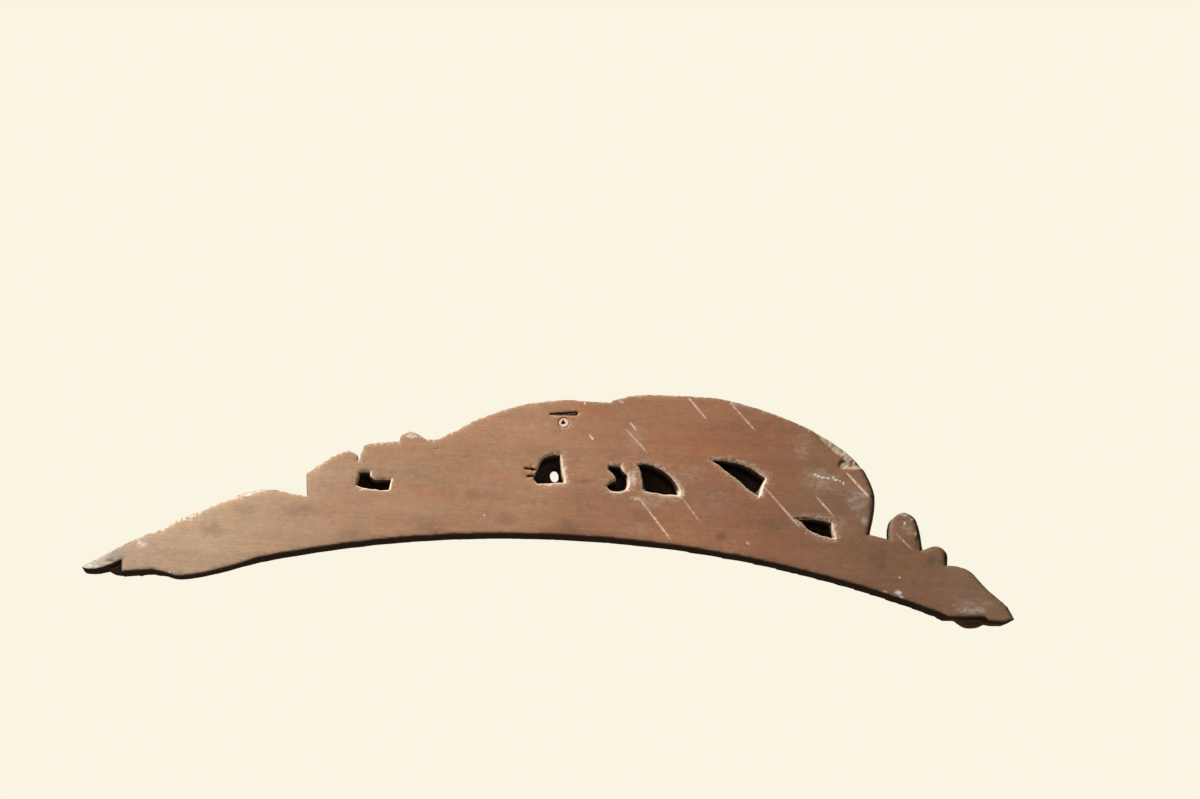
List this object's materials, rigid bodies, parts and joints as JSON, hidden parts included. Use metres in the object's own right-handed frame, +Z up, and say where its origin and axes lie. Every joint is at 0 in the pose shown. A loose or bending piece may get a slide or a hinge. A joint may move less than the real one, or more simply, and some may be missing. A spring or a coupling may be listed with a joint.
{
  "type": "carved crest board",
  "caption": "Arched, pierced and leaf-carved wooden crest board with a flat back, a plugged screw hole and a nail bent over into the back.",
  "frame": {"origin": "bottom centre of the board's box: half way along it, half way through its thickness, level with its lowest lobe", "axes": "+X along the board, towards the weathered tip; +Y out of the flat back; +Z up"},
  "size_m": [0.9, 0.034, 0.2102],
  "materials": {
    "carved_wood": "bare, weathered reddish-brown hardwood with horizontal grain, pale fresh cuts and white scratches",
    "plug_wood": "bare pale softwood, end grain showing",
    "nail_iron": "dark rusted wrought iron"
  },
  "bodies": {
    "root": {"carved_board": "carved_wood", "screw_hole_plug": "plug_wood", "clinched_nail": "nail_iron"}
  },
  "joints": []
}
